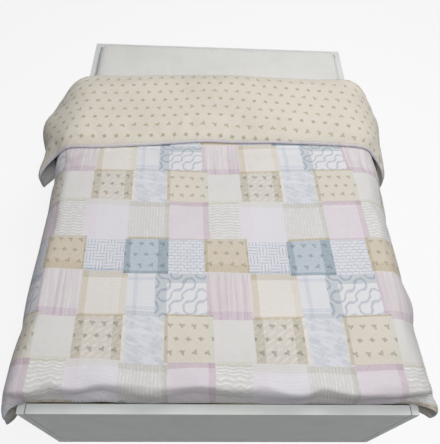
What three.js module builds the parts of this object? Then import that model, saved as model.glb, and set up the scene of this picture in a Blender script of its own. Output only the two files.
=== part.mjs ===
// Filled duvet in its patchwork cover, lying on a plain double bed.
// Millimetres, +Z up, +Y towards the head of the bed, +X to the right seen from the foot.
// The bed is laid out from the top front edge of its footboard, and the whole is then
// stood on the floor with its origin under the middle of it.
import * as THREE from 'three';

// ---- Driving dimensions: bed ----
const gap = 0.3;               // between pieces that are fastened or rest on each other
const frameWidth = 1410;       // over both side panels
const frameHeight = 620;       // floor to the top of footboard, head panel and side panels
const boardThick = 34;         // footboard and head panel
const panelThick = 28;         // side panels
const wellLength = 1950;       // clear length between footboard and head panel

const mattressWidth = 1350;
const mattressLength = 1900;
const mattressThick = 220;
const mattressRise = 45;       // mattress top above the top of the boards
const mattressRound = 55;      // roundness of the mattress's long top and bottom edges
const mattressCorner = 60;     // roundness of its upright corners

const ledgerWide = 32;
const ledgerTall = 40;
const slatWide = 90;
const slatThick = 18;
const slatCount = 12;
const beamWide = 45;
const beamTall = 60;
const legSide = 50;

// ---- Driving dimensions: filled cover ----
const coverWidth = 1970;       // seam to seam along the cloth, filled
const coverLength = 2082;      // seam to seam along the cloth, filled
const halfThick = 22;          // half the thickness of the filling in the open
const seamHalfThick = 5;       // half the thickness at the seam
const seamTaper = 95;          // width over which the filling thins to the seam
const cornerTaper = 38;        // the same where the foot corners hang, which are fuller
const drawIn = 12;             // how far the seams are drawn in between the corners

const topFlatHalf = { left: 657, right: 651 }; // half width of the flat top
const sideBend = 98;           // bend of the middle plane over a side edge
const squeeze = 5.5;           // filling squeezed out of half the thickness at this bend
const squeezeAt = 745;         // most of it here, across the cloth
const squeezeWide = 80;        // within about this
const sideTurn = { left: 1.6, right: 1.47 }; // radians turned before each side hangs straight
const footBend = 15;           // bend of the middle plane above the footboard
const footSlope = Math.PI / 3; // the foot end slopes down this steeply
const footStraight = 70;       // length of that slope
const footSeam = 32;           // foot seam from the footboard's face, over its inner edge
const lipHigh = 6;             // soft lip where the top turns down
const cornerOut = { left: 18, right: -3 }; // foot corners past the seam's line
const cornerEase = 350;        // length over which the corners' bunching dies out
const cornerRound = 90;        // foot corners are rounded over this length
const cornerIn = { left: 16, right: 30 }; // and pulled in by this
const footRises = [580, 840];  // from here to here the foot's slope becomes the hanging side's end
const cornerStarts = [660, 800]; // from here to here the foot edge moves out over the boards
const foldPlace = 1585;        // start of the head fold, from the footboard's face
const foldLayerGap = 3.6;      // between the two layers
const foldSkew = { left: -26, right: 0 }; // the fold's two ends nearer the foot (-) or head (+)
const foldSkewWide = 650;      // reached this far from the middle line
const foldSideBack = 85;       // the fold's two hanging ends lie nearer the foot by this
const foldSideStarts = [620, 920]; // beginning and ending here
const foldSideIn = 18;         // and closer to the bed by this
const flapOut = { left: 72, right: 46 }; // free corners of the turned-back layer stand out
const flapForward = 48;        // and lean towards the foot by this
const cornerLift = { left: 55, right: 94 }; // foot corners hang shorter than the sides by this
const cornerFlare = { left: 36, right: -28 }; // and stand out by this
const cornerLength = 150;      // over about this length

// Broad soft swells of the top: wavelengths across and along, height, and phase.
const swells = [
  { across: 910, along: 1330, high: 3.0, phase: 0.4 },
  { across: -560, along: 720, high: 2.2, phase: 1.9 },
  { across: 330, along: -1050, high: 1.4, phase: 4.1 },
];
// Soft ridges (+) and troughs (-) down the hanging sides: place along the bed, half width, depth.
const sideFolds = [
  { side: -1, at: 70, wide: 90, out: -11 },
  { side: -1, at: 270, wide: 120, out: -8 },
  { side: -1, at: 1000, wide: 80, out: -5 },
  { side: -1, at: 1330, wide: 100, out: 52 },
  { side: 1, at: 12, wide: 40, out: 28 },
  { side: 1, at: 410, wide: 70, out: 17 },
  { side: 1, at: 780, wide: 170, out: -12 },
  { side: 1, at: 1200, wide: 90, out: -14 },
  { side: 1, at: 1420, wide: 70, out: 12 },
];
// Waves of the foot end: place across, half width, push towards the head.
const footRipples = [
  { at: -660, wide: 70, push: -14 },
  { at: -590, wide: 40, push: 10 },
  { at: -420, wide: 70, push: 22 },
  { at: -240, wide: 50, push: -12 },
  { at: -80, wide: 80, push: 11 },
  { at: 240, wide: 90, push: -12 },
  { at: 340, wide: 50, push: 6 },
  { at: 460, wide: 70, push: -13 },
];
// Where the hem arches off the board: place across, half width, lift.
const hemArches = [
  { at: -610, wide: 50, lift: 10 },
  { at: -410, wide: 30, lift: 6 },
  { at: 630, wide: 40, lift: 8 },
];

// ---- Materials ----
const paint = (color, roughness) => new THREE.MeshStandardMaterial({ color, roughness, metalness: 0 });
const whitePaint = paint(0xd9dcd8, 0.5);
const bareWood = paint(0xcdb489, 0.7);
const sheetCloth = paint(0xe6e4de, 0.9);
const coverCloth = paint(0xdcd6d6, 0.9);

// ---- Small helpers ----
const smooth = (from, to, value) => {
  const part = Math.min(1, Math.max(0, (value - from) / (to - from)));
  return part * part * (3 - 2 * part);
};
const mix = (a, b, part) => a + (b - a) * part;
const hump = (distance, halfWidth) => Math.exp(-((distance / halfWidth) ** 2));

const named = (name, geometry, material) => {
  const mesh = new THREE.Mesh(geometry, material);
  mesh.name = name;
  return mesh;
};

// A box given by its lowest and highest corners.
const boardBetween = (name, low, high, material) => {
  const size = high.map((value, axis) => value - low[axis]);
  const board = named(name, new THREE.BoxGeometry(...size), material);
  board.position.set(...low.map((value, axis) => value + size[axis] / 2));
  return board;
};

// ---- Bed frame ----
const innerHalf = frameWidth / 2 - panelThick;
const frameLength = boardThick + wellLength + boardThick;
const floor = -frameHeight;
const mattressTop = mattressRise;
const slatTop = mattressTop - mattressThick - gap;
const slatFoot = slatTop - slatThick;
const ledgerTop = slatFoot - gap;

const makeBoards = () => [
  boardBetween('footboard', [-innerHalf + gap, 0, floor], [innerHalf - gap, boardThick, 0], whitePaint),
  boardBetween('head_panel', [-innerHalf + gap, frameLength - boardThick, floor],
    [innerHalf - gap, frameLength, 0], whitePaint),
  boardBetween('side_panel_left', [-frameWidth / 2, 0, floor], [-innerHalf, frameLength, 0], whitePaint),
  boardBetween('side_panel_right', [innerHalf, 0, floor], [frameWidth / 2, frameLength, 0], whitePaint),
];

const makeSupports = () => {
  const from = boardThick + gap;
  const to = frameLength - boardThick - gap;
  const ledgerIn = innerHalf - gap;
  const pieces = [
    boardBetween('ledger_left', [-ledgerIn, from, ledgerTop - ledgerTall],
      [-ledgerIn + ledgerWide, to, ledgerTop], bareWood),
    boardBetween('ledger_right', [ledgerIn - ledgerWide, from, ledgerTop - ledgerTall],
      [ledgerIn, to, ledgerTop], bareWood),
    boardBetween('middle_beam', [-beamWide / 2, from, ledgerTop - beamTall],
      [beamWide / 2, to, ledgerTop], bareWood),
    boardBetween('middle_leg', [-legSide / 2, frameLength / 2 - legSide / 2, floor],
      [legSide / 2, frameLength / 2 + legSide / 2, ledgerTop - beamTall - gap], bareWood),
  ];
  const pitch = (wellLength - slatWide - 60) / (slatCount - 1);
  for (let slat = 0; slat < slatCount; slat += 1) {
    const start = boardThick + 30 + slat * pitch;
    pieces.push(boardBetween(`slat_${slat + 1}`, [-innerHalf + 2, start, slatFoot],
      [innerHalf - 2, start + slatWide, slatTop], bareWood));
  }
  return pieces;
};

// ---- Mattress: a slab with rounded upright corners and rounded long edges ----
const makeMattress = () => {
  const half = mattressWidth / 2 - mattressRound;
  const length = mattressLength - 2 * mattressRound;
  const corner = mattressCorner;
  const outline = new THREE.Shape();
  outline.moveTo(-half + corner, 0);
  outline.lineTo(half - corner, 0);
  outline.absarc(half - corner, corner, corner, -Math.PI / 2, 0);
  outline.lineTo(half, length - corner);
  outline.absarc(half - corner, length - corner, corner, 0, Math.PI / 2);
  outline.lineTo(-half + corner, length);
  outline.absarc(-half + corner, length - corner, corner, Math.PI / 2, Math.PI);
  outline.lineTo(-half, corner);
  outline.absarc(-half + corner, corner, corner, Math.PI, 1.5 * Math.PI);
  const slab = new THREE.ExtrudeGeometry(outline, {
    depth: mattressThick - 2 * mattressRound,
    curveSegments: 5,
    bevelThickness: mattressRound,
    bevelSize: mattressRound,
    bevelSegments: 5,
  });
  const mattress = named('mattress', slab, sheetCloth);
  const headEnd = frameLength - boardThick - 2;
  mattress.position.set(0, headEnd - mattressLength + mattressRound,
    mattressTop - mattressThick + mattressRound);
  return mattress;
};

// ---- Filled cover ----
// Its middle plane is worked out from two lengths along the cloth: `across` from the middle
// line and `along` from the foot seam. The face panel is on the side of the plane's normal.
// The under layer lies flat on the mattress, so its swells are all in its upper side.
const middleHeight = mattressTop + gap + halfThick;
const foldRadius = halfThick + foldLayerGap / 2;
const footFlat = footStraight + footBend * footSlope;
const footLoss = footFlat - footSeam - footStraight * Math.cos(footSlope) - footBend * Math.sin(footSlope);
const foldStart = foldPlace + footLoss;
const foldArc = foldRadius * Math.PI;

// How a point at `across` lies over a side edge when its middle plane bends at `radius`.
const overSide = (across, radius) => {
  const side = Math.sign(across);
  const hand = side < 0 ? 'left' : 'right';
  const beyond = Math.abs(across) - topFlatHalf[hand];
  if (beyond <= 0) return { x: across, drop: 0 };
  const turn = Math.min(sideTurn[hand], beyond / radius);
  const rest = beyond - turn * radius;
  return {
    x: side * (topFlatHalf[hand] + radius * Math.sin(turn) + rest * Math.cos(turn)),
    drop: radius * (1 - Math.cos(turn)) + rest * Math.sin(turn),
  };
};

// How a point at `along` slopes down to the footboard.
const overFoot = (along) => {
  if (along >= footFlat) return { y: along - footLoss, drop: 0 };
  const turn = Math.min(footSlope, (footFlat - along) / footBend);
  const rest = footFlat - along - turn * footBend;
  return {
    y: footFlat - footLoss - footBend * Math.sin(turn) - rest * Math.cos(turn),
    drop: footBend * (1 - Math.cos(turn)) + rest * Math.sin(turn),
  };
};

const swellAt = (x, y) => swells.reduce((sum, swell) => sum + swell.high
  * (1 + Math.sin(2 * Math.PI * (x / swell.across + y / swell.along) + swell.phase)), 0);

const sideFoldAt = (side, y) => sideFolds.reduce((sum, fold) => (
  fold.side === side ? sum + fold.out * hump(y - fold.at, fold.wide) : sum), 0);

const footRippleAt = (across) => footRipples.reduce((sum, ripple) => (
  sum + ripple.push * hump(across - ripple.at, ripple.wide)), 0);

const hemArchAt = (across) => hemArches.reduce((sum, arch) => (
  sum + arch.lift * hump(across - arch.at, arch.wide)), 0);

const coverAt = (across, along) => {
  // the seams are drawn in a little between the corners, and the foot corners are rounded
  const width = across / (coverWidth / 2);
  const length = along / (coverLength / 2) - 1;
  const side = Math.sign(across);
  const hand = side < 0 ? 'left' : 'right';
  const fromCorner = Math.hypot(coverWidth / 2 - Math.abs(across), along);
  const rounded = cornerIn[hand] * Math.max(0, 1 - fromCorner / cornerRound) ** 2;
  const s = across * (1 - drawIn / (coverWidth / 2) * (1 - length ** 4) * width ** 2) - side * rounded;
  const t = along - drawIn * Math.sign(length) * (1 - width ** 4) * length ** 8 + rounded;

  // head fold: the under layer runs up to it, turns over, and comes back as the upper layer
  const sideBack = foldSideBack * smooth(foldSideStarts[0], foldSideStarts[1], Math.abs(s));
  const skew = foldSkew[hand] * smooth(0, foldSkewWide, Math.abs(s)) - sideBack;
  const turned = Math.max(0, t - foldStart - skew);
  const angle = Math.min(Math.PI, turned / foldRadius);
  const raise = foldRadius * (1 - Math.cos(angle));
  const back = Math.max(0, turned - foldArc);
  const { x, drop } = overSide(s, sideBend + raise);

  // foot end: it slopes to the board in the middle, and lies out over the frame's two corners
  const foot = overFoot(t);
  const footDrop = foot.drop * (1 - smooth(footRises[0], footRises[1], Math.abs(s)));
  const goesOut = smooth(cornerStarts[0], cornerStarts[1], Math.abs(s));
  const cornerY = t - footLoss + (footLoss - cornerOut[hand]) * Math.exp(-t / cornerEase);
  let y = turned > 0
    ? foldPlace + skew + foldRadius * Math.sin(angle) - back + 2 * sideBack * Math.min(1, back / 400)
    : mix(foot.y, cornerY, goesOut);
  let z = middleHeight + raise - drop - footDrop;

  // unevenness: swells on top, waves and a lip at the foot, ridges and troughs down the sides
  const hangs = smooth(20, 160, drop);
  const top = 1 - smooth(0, 90, drop + footDrop);
  const swell = top * smooth(0, 200, t) * swellAt(x, y);
  const upper = raise / (2 * foldRadius);
  z += swell * (1 + upper) / 2;
  const ripple = footRippleAt(s) * (1 - hangs);
  y += ripple * hump(t - footFlat, 50);
  z += Math.abs(ripple) * 0.3 * hump(t - footFlat, 60);
  z += (1 - hangs) * (lipHigh * hump(t - footFlat - 6, 20) + hemArchAt(s) * hump(t, 30));
  const corner = hump(t, cornerLength);
  z += cornerLift[hand] * smooth(60, 300, drop) * corner;
  const inwards = foldSideIn * smooth(foldPlace - 190, foldPlace + 10, y);
  let xOut = x + side * smooth(0, 70, drop) * (sideFoldAt(side, y) - inwards);
  xOut += side * cornerFlare[hand] * smooth(120, 300, drop) * corner;

  // the turned-back layer's two free corners stand out and lean to the foot
  const hanging = smooth(80, 230, drop + raise);
  xOut += side * flapOut[hand] * hanging * smooth(coverLength - 140, coverLength, t) ** 2;
  y -= flapForward * hanging * smooth(coverLength - 330, coverLength, t);
  return { middle: new THREE.Vector3(xOut, y, z), swollen: swell * (1 - upper) / 2 };
};

const squeezed = (across) => squeeze * hump(Math.abs(across) - squeezeAt, squeezeWide);

const halfThickness = (across, along) => {
  const crown = (inside, taper) => {
    const part = Math.min(1, Math.max(0, inside / taper));
    return part * (2 - part);
  };
  const endTaper = mix(seamTaper, cornerTaper, smooth(680, 800, Math.abs(across)));
  const sideTaper = mix(seamTaper, cornerTaper, hump(along, 150));
  const fill = Math.min(crown(coverWidth / 2 - Math.abs(across), sideTaper), crown(along, endTaper),
    crown(coverLength - along, seamTaper));
  return seamHalfThick + (halfThick - seamHalfThick - squeezed(across)) * fill;
};

// Where the filling thins, the turned-back layer settles onto the layer below.
const settling = (half, across, along) => (halfThick - half + squeezed(across))
  * smooth(foldStart + foldArc, foldStart + foldArc + 80, along);

const planeNormal = (across, along) => {
  const step = 0.5;
  const middle = (sideStep, lengthStep) => coverAt(across + sideStep, along + lengthStep).middle;
  const sideways = middle(step, 0).sub(middle(-step, 0));
  const lengthways = middle(0, step).sub(middle(0, -step));
  return sideways.cross(lengthways).normalize();
};

// Even steps from one place to the next: rows of { to, steps }, from `start`.
const stations = (start, stretches) => {
  const places = [start];
  let from = start;
  for (const { to, steps } of stretches) {
    for (let step = 1; step <= steps; step += 1) places.push(mix(from, to, step / steps));
    from = to;
  }
  return places;
};

const acrossHalf = [
  { to: 560, steps: 6 },
  { to: topFlatHalf.left + 10, steps: 3 },
  { to: 905, steps: 7 },
  { to: coverWidth / 2, steps: 3 },
];
const rightSide = stations(0, acrossHalf);
const acrossPlaces = [...rightSide.slice(1).reverse().map((place) => -place), ...rightSide];
const alongPlaces = stations(0, [
  { to: footFlat + 20, steps: 6 },
  { to: foldStart - 45, steps: 18 },
  { to: foldStart, steps: 2 },
  { to: foldStart + foldArc, steps: 7 },
  { to: coverLength - 60, steps: 6 },
  { to: coverLength, steps: 2 },
]);

const makeCover = () => {
  const columns = acrossPlaces.length;
  const rows = alongPlaces.length;
  const positions = [];
  for (const face of [1, -1]) {
    for (const along of alongPlaces) {
      for (const across of acrossPlaces) {
        const { middle, swollen } = coverAt(across, along);
        const half = halfThickness(across, along);
        const away = face * (half + swollen) + settling(half, across, along);
        const offset = planeNormal(across, along).multiplyScalar(away);
        positions.push(...middle.add(offset).toArray());
      }
    }
  }
  const at = (layer, row, column) => layer * rows * columns + row * columns + column;
  const triangles = [];
  const quad = (a, b, c, d) => triangles.push(a, b, c, a, c, d);
  for (let row = 0; row < rows - 1; row += 1) {
    for (let column = 0; column < columns - 1; column += 1) {
      quad(at(0, row, column), at(0, row, column + 1), at(0, row + 1, column + 1), at(0, row + 1, column));
      quad(at(1, row, column), at(1, row + 1, column), at(1, row + 1, column + 1), at(1, row, column + 1));
    }
  }
  for (let column = 0; column < columns - 1; column += 1) {
    quad(at(1, 0, column), at(1, 0, column + 1), at(0, 0, column + 1), at(0, 0, column));
    quad(at(0, rows - 1, column), at(0, rows - 1, column + 1), at(1, rows - 1, column + 1),
      at(1, rows - 1, column));
  }
  for (let row = 0; row < rows - 1; row += 1) {
    quad(at(0, row, 0), at(0, row + 1, 0), at(1, row + 1, 0), at(1, row, 0));
    quad(at(1, row, columns - 1), at(1, row + 1, columns - 1), at(0, row + 1, columns - 1),
      at(0, row, columns - 1));
  }
  const geometry = new THREE.BufferGeometry();
  geometry.setAttribute('position', new THREE.Float32BufferAttribute(positions, 3));
  geometry.setIndex(triangles);
  return named('duvet', geometry, coverCloth);
};

// ---- Whole object, stood on the floor with its origin under its middle ----
const bed = new THREE.Group();
bed.add(...makeBoards(), ...makeSupports(), makeMattress(), makeCover());
const extent = new THREE.Box3().setFromObject(bed, true);
const middle = extent.getCenter(new THREE.Vector3());
bed.position.set(-middle.x, -middle.y, -extent.min.z);

const group = new THREE.Group();
group.add(bed);
export default group;
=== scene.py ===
# %% [markdown]
# # A filled duvet in its patchwork cover, on a plain double bed
#
# The bed's boards, slats and leg come ready-made from the CAD model. What is soft is made here:
# the filled cover with its print and its sprigged reverse, and the mattress in its fitted sheet.
# Everything is in metres, and every piece lies where the CAD model has it.

# %% Load the bed
import math
import bmesh
import bpy
from mathutils import Matrix, Vector


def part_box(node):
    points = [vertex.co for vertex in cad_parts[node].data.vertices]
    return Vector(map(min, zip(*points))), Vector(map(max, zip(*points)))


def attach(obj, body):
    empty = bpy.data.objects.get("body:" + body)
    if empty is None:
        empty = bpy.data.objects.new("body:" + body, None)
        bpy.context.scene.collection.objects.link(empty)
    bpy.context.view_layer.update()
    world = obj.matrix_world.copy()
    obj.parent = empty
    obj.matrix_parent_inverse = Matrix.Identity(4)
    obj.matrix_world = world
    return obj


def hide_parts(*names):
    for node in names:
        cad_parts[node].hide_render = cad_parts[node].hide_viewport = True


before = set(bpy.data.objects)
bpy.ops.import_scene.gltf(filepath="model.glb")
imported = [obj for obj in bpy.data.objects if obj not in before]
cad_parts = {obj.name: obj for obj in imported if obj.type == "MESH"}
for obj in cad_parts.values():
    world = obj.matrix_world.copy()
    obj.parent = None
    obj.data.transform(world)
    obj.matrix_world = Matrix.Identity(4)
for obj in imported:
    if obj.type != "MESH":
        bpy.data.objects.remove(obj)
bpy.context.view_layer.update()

# %% [markdown]
# ## Where things are measured from
#
# A bed maker measures from an edge that can be touched. All sizes below are taken from the top
# front edge of the footboard, at the middle of the bed: across to the right, along to the head,
# and up. One vector then carries a piece to its place in the model.

# %% The footboard's top edge
board_low, board_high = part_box("footboard")
EDGE = Vector(((board_low.x + board_high.x) / 2, board_low.y, board_high.z))
print("top front edge of the footboard:", [round(value, 4) for value in EDGE])

# %% [markdown]
# ## The camera
#
# The camera stands on a ladder at the foot of the bed, turned a little to the right, and looks
# down. It could be aimed with a Track To constraint, but three turns say exactly where it points:
# yaw from the bed's length, pitch below the horizon, and a slight roll.

# %% Place the camera
def aim(yaw, pitch, roll):
    forward = Vector((math.sin(yaw) * math.cos(pitch), math.cos(yaw) * math.cos(pitch), -math.sin(pitch)))
    level = Vector((math.cos(yaw), -math.sin(yaw), 0))
    down = forward.cross(level)
    right = math.cos(roll) * level + math.sin(roll) * down
    low = math.cos(roll) * down - math.sin(roll) * level
    return Matrix((right, -low, -forward)).transposed()


LENS, CAMERA_STANDS = 38.03, Vector((-0.081, -0.332, 1.734))
YAW, PITCH, ROLL = (math.radians(turn) for turn in (4.10, 56.75, -4.54))

camera_data = bpy.data.cameras.new("camera")
camera_data.lens = LENS
camera_data.sensor_width = 36
camera = bpy.data.objects.new("camera", camera_data)
camera.matrix_world = Matrix.Translation(EDGE + CAMERA_STANDS) @ aim(YAW, PITCH, ROLL).to_4x4()
bpy.context.collection.objects.link(camera)
bpy.context.scene.camera = camera
print("camera stands at", [round(value, 3) for value in camera.matrix_world.translation])

# %% [markdown]
# ## How the filled cover lies
#
# A duvet cover is two flat panels sewn together at their edges, round a filling. Its shape on the
# bed could be left wholly to a cloth simulation, but a heavy cover settles slowly and never twice
# in the same folds. Here the lie is written down instead, as a maker of patterns would: for every
# point of the flat cloth, `across` from the middle line and `along` from the foot seam, a short
# rule says where its middle plane lies. The simulation then only has to fill it.

# %% Sizes of the bed and its mattress
GAP = 0.0003                            # between pieces that rest on each other
BOARD, WELL_LENGTH = 0.034, 1.950       # footboard's thickness; clear length up to the head panel
MATTRESS = (1.350, 1.900, 0.220)
MATTRESS_TOP, MATTRESS_END = 0.045, 0.002    # over the footboard's edge; short of the head panel
UPRIGHT_ROUND, LEVEL_ROUND = 0.060, 0.050    # radii of its corners and of its long edges

# %% Sizes of the cover
COVER_WIDTH, COVER_LENGTH = 1.970, 2.082     # seam to seam along the cloth, filled
HALF_THICK, SEAM_HALF = 0.022, 0.005         # half the filling's thickness, in the open and at the seam
SEAM_TAPER, CORNER_TAPER = 0.095, 0.038      # width over which it thins; the foot corners are fuller
CORNER_FULL_FROM, CORNER_FULL_LONG = (0.680, 0.800), 0.150
DRAW_IN = 0.012                              # how far the seams are drawn in between the corners
CORNER_ROUND, CORNER_IN = 0.090, {-1: 0.016, 1: 0.030}

# over the two sides: -1 is the left one, 1 the right one
FLAT_HALF, SIDE_BEND = {-1: 0.657, 1: 0.651}, 0.098
SIDE_TURN = {-1: 1.6, 1: 1.47}               # radians turned before a side hangs straight
SQUEEZE, SQUEEZE_AT, SQUEEZE_WIDE = 0.0055, 0.745, 0.080     # thinner where it goes over the edge

# over the foot: a slope in the middle, and two corners that hang outside the bed
FOOT_BEND, FOOT_SLOPE, FOOT_STRAIGHT, FOOT_SEAM = 0.015, math.radians(60), 0.070, 0.032
FOOT_RISES, CORNER_STARTS = (0.580, 0.840), (0.660, 0.800)
CORNER_OUT, CORNER_EASE = {-1: 0.018, 1: -0.003}, 0.350      # how far past the bed's foot they come
CORNER_LIFT, CORNER_LIFT_FROM = {-1: 0.055, 1: 0.094}, (0.060, 0.300)
CORNER_FLARE, CORNER_FLARE_FROM = {-1: 0.036, 1: -0.028}, (0.120, 0.300)
CORNER_LENGTH = 0.150
LIP_HIGH, LIP_AT, LIP_LONG = 0.006, 0.006, 0.020             # the soft lip before it bends down
HEM_LONG = 0.030                                             # how far along an arch of the hem fades

# the head end, turned back over itself
FOLD_PLACE, FOLD_GAP = 1.585, 0.0036
FOLD_SKEW, FOLD_SKEW_WIDE = {-1: -0.026, 1: 0.0}, 0.650
FOLD_SIDE_BACK, FOLD_SIDE_STARTS, FOLD_BACK_LONG = 0.085, (0.620, 0.920), 0.4
FOLD_SIDE_IN, FOLD_SIDE_IN_FROM = 0.018, (FOLD_PLACE - 0.190, FOLD_PLACE + 0.010)
FLAP_OUT, FLAP_OUT_LONG = {-1: 0.072, 1: 0.046}, 0.140
FLAP_FORWARD, FLAP_FORWARD_LONG, FLAP_HANGS = 0.048, 0.330, (0.080, 0.230)

MIDDLE_HEIGHT = MATTRESS_TOP + GAP + HALF_THICK
FOLD_RADIUS = HALF_THICK + FOLD_GAP / 2
FOOT_FLAT = FOOT_STRAIGHT + FOOT_BEND * FOOT_SLOPE
FOOT_LOSS = FOOT_FLAT - (FOOT_SEAM + FOOT_STRAIGHT * math.cos(FOOT_SLOPE) + FOOT_BEND * math.sin(FOOT_SLOPE))
FOLD_START = FOLD_PLACE + FOOT_LOSS
FOLD_ARC = FOLD_RADIUS * math.pi
print("cover sewn", COVER_WIDTH, "x", COVER_LENGTH, "- head fold starts", round(FOLD_START, 3), "along it")

# %% [markdown]
# No filled cover is even. Its unevenness is kept in short tables: broad swells of the top, soft
# ridges and troughs down the hanging sides, ripples where the top bends down at the foot, and the
# places where the hem arches a little off the board.

# %% Swells, side folds and foot ripples
SIDE_HANGS, SIDE_FOLDS_FROM = (0.020, 0.160), 0.070
SWELLS_END, SWELLS_FROM = 0.090, 0.200
RIPPLE_LONG, RIPPLE_RISE, RIPPLE_RISE_LONG = 0.050, 0.3, 0.060
SWELLS = (  # wavelength across, wavelength along, height, phase
    (0.910, 1.330, 0.0030, 0.4),
    (-0.560, 0.720, 0.0022, 1.9),
    (0.330, -1.050, 0.0014, 4.1),
)
SIDE_FOLDS = {  # place along the bed, half width, how far it stands out
    -1: ((0.070, 0.090, -0.011), (0.270, 0.120, -0.008), (1.000, 0.080, -0.005), (1.330, 0.100, 0.052)),
    1: ((0.012, 0.040, 0.028), (0.410, 0.070, 0.017), (0.780, 0.170, -0.012), (1.200, 0.090, -0.014),
        (1.420, 0.070, 0.012)),
}
FOOT_RIPPLES = (  # place across, half width, pushed towards the head
    (-0.660, 0.070, -0.014),
    (-0.590, 0.040, 0.010),
    (-0.420, 0.070, 0.022),
    (-0.240, 0.050, -0.012),
    (-0.080, 0.080, 0.011),
    (0.240, 0.090, -0.012),
    (0.340, 0.050, 0.006),
    (0.460, 0.070, -0.013),
)
HEM_ARCHES = (  # place across, half width, how far the hem lifts off the board
    (-0.610, 0.050, 0.010),
    (-0.410, 0.030, 0.006),
    (0.630, 0.040, 0.008),
)


def smooth(start, end, value):
    part = min(1.0, max(0.0, (value - start) / (end - start)))
    return part * part * (3 - 2 * part)


def mix(a, b, part):
    return a + (b - a) * part


def hump(distance, half_width):
    return math.exp(-((distance / half_width) ** 2))


def humps(table, place):
    return sum(height * hump(place - at, wide) for at, wide, height in table)


def swell_at(x, y):
    return sum(high * (1 + math.sin(2 * math.pi * (x / across + y / along) + phase))
               for across, along, high, phase in SWELLS)


print("tallest swell:", round(2 * sum(row[2] for row in SWELLS) * 1000, 1), "mm")

# %% [markdown]
# The cover bends over three edges. Over a side it turns through a quarter circle and hangs. At
# the foot it bends down steeply, and its seam rests along the inner edge of the footboard. At the
# head it turns right over, so that its reverse shows, and comes back on top of itself.

# %% Bends over the side and the foot
def over_side(across, radius):
    side = -1 if across < 0 else 1
    beyond = abs(across) - FLAT_HALF[side]
    if beyond <= 0:
        return across, 0.0
    turn = min(SIDE_TURN[side], beyond / radius)
    rest = beyond - turn * radius
    return (side * (FLAT_HALF[side] + radius * math.sin(turn) + rest * math.cos(turn)),
            radius * (1 - math.cos(turn)) + rest * math.sin(turn))


def over_foot(along):
    if along >= FOOT_FLAT:
        return along - FOOT_LOSS, 0.0
    turn = min(FOOT_SLOPE, (FOOT_FLAT - along) / FOOT_BEND)
    rest = FOOT_FLAT - along - turn * FOOT_BEND
    return (FOOT_FLAT - FOOT_LOSS - FOOT_BEND * math.sin(turn) - rest * math.cos(turn),
            FOOT_BEND * (1 - math.cos(turn)) + rest * math.sin(turn))


print("the cover hangs", round(over_side(COVER_WIDTH / 2, SIDE_BEND)[1], 3), "m below its top at the side")

# %% Where a point of the cloth lies
def cover_at(across, along):
    """Middle plane's place, and how much the upper side is swollen there."""
    width = across / (COVER_WIDTH / 2)
    length = along / (COVER_LENGTH / 2) - 1
    s = across * (1 - DRAW_IN / (COVER_WIDTH / 2) * (1 - length ** 4) * width ** 2)
    t = along - DRAW_IN * math.copysign(1, length) * (1 - width ** 4) * length ** 8
    side = -1 if s < 0 else 1
    from_corner = math.hypot(COVER_WIDTH / 2 - abs(across), along)
    rounded = CORNER_IN[side] * max(0, 1 - from_corner / CORNER_ROUND) ** 2
    s -= side * rounded
    t += rounded

    side_back = FOLD_SIDE_BACK * smooth(*FOLD_SIDE_STARTS, abs(s))
    skew = FOLD_SKEW[side] * smooth(0, FOLD_SKEW_WIDE, abs(s)) - side_back
    turned = max(0, t - FOLD_START - skew)
    angle = min(math.pi, turned / FOLD_RADIUS)
    rise = FOLD_RADIUS * (1 - math.cos(angle))
    back = max(0, turned - FOLD_ARC)
    x, drop = over_side(s, SIDE_BEND + rise)

    foot_y, foot_drop = over_foot(t)
    foot_drop *= 1 - smooth(*FOOT_RISES, abs(s))
    if turned > 0:
        y = FOLD_PLACE + skew + FOLD_RADIUS * math.sin(angle) - back
        y += 2 * side_back * min(1, back / FOLD_BACK_LONG)
    else:
        corner_y = t - FOOT_LOSS + (FOOT_LOSS - CORNER_OUT[side]) * math.exp(-t / CORNER_EASE)
        y = mix(foot_y, corner_y, smooth(*CORNER_STARTS, abs(s)))
    z = MIDDLE_HEIGHT + rise - drop - foot_drop

    hangs = smooth(*SIDE_HANGS, drop)
    top = 1 - smooth(0, SWELLS_END, drop + foot_drop)
    swell = top * smooth(0, SWELLS_FROM, t) * swell_at(x, y)
    upper = rise / (2 * FOLD_RADIUS)
    z += swell * (1 + upper) / 2
    ripple = humps(FOOT_RIPPLES, s) * (1 - hangs)
    y += ripple * hump(t - FOOT_FLAT, RIPPLE_LONG)
    z += abs(ripple) * RIPPLE_RISE * hump(t - FOOT_FLAT, RIPPLE_RISE_LONG)
    lip = LIP_HIGH * hump(t - FOOT_FLAT - LIP_AT, LIP_LONG)
    z += (1 - hangs) * (lip + humps(HEM_ARCHES, s) * hump(t, HEM_LONG))
    corner = hump(t, CORNER_LENGTH)
    z += CORNER_LIFT[side] * smooth(*CORNER_LIFT_FROM, drop) * corner
    inwards = FOLD_SIDE_IN * smooth(*FOLD_SIDE_IN_FROM, y)
    x += side * smooth(0, SIDE_FOLDS_FROM, drop) * (humps(SIDE_FOLDS[side], y) - inwards)
    x += side * CORNER_FLARE[side] * smooth(*CORNER_FLARE_FROM, drop) * corner

    hanging = smooth(*FLAP_HANGS, drop + rise)
    x += side * FLAP_OUT[side] * hanging * smooth(COVER_LENGTH - FLAP_OUT_LONG, COVER_LENGTH, t) ** 2
    y -= FLAP_FORWARD * hanging * smooth(COVER_LENGTH - FLAP_FORWARD_LONG, COVER_LENGTH, t)
    return Vector((x, y, z)), swell * (1 - upper) / 2


def cover_normal(across, along):
    step = 0.0005
    sideways = cover_at(across + step, along)[0] - cover_at(across - step, along)[0]
    lengthways = cover_at(across, along + step)[0] - cover_at(across, along - step)[0]
    return sideways.cross(lengthways).normalized()


def squeezed(across):
    return SQUEEZE * hump(abs(across) - SQUEEZE_AT, SQUEEZE_WIDE)


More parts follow.
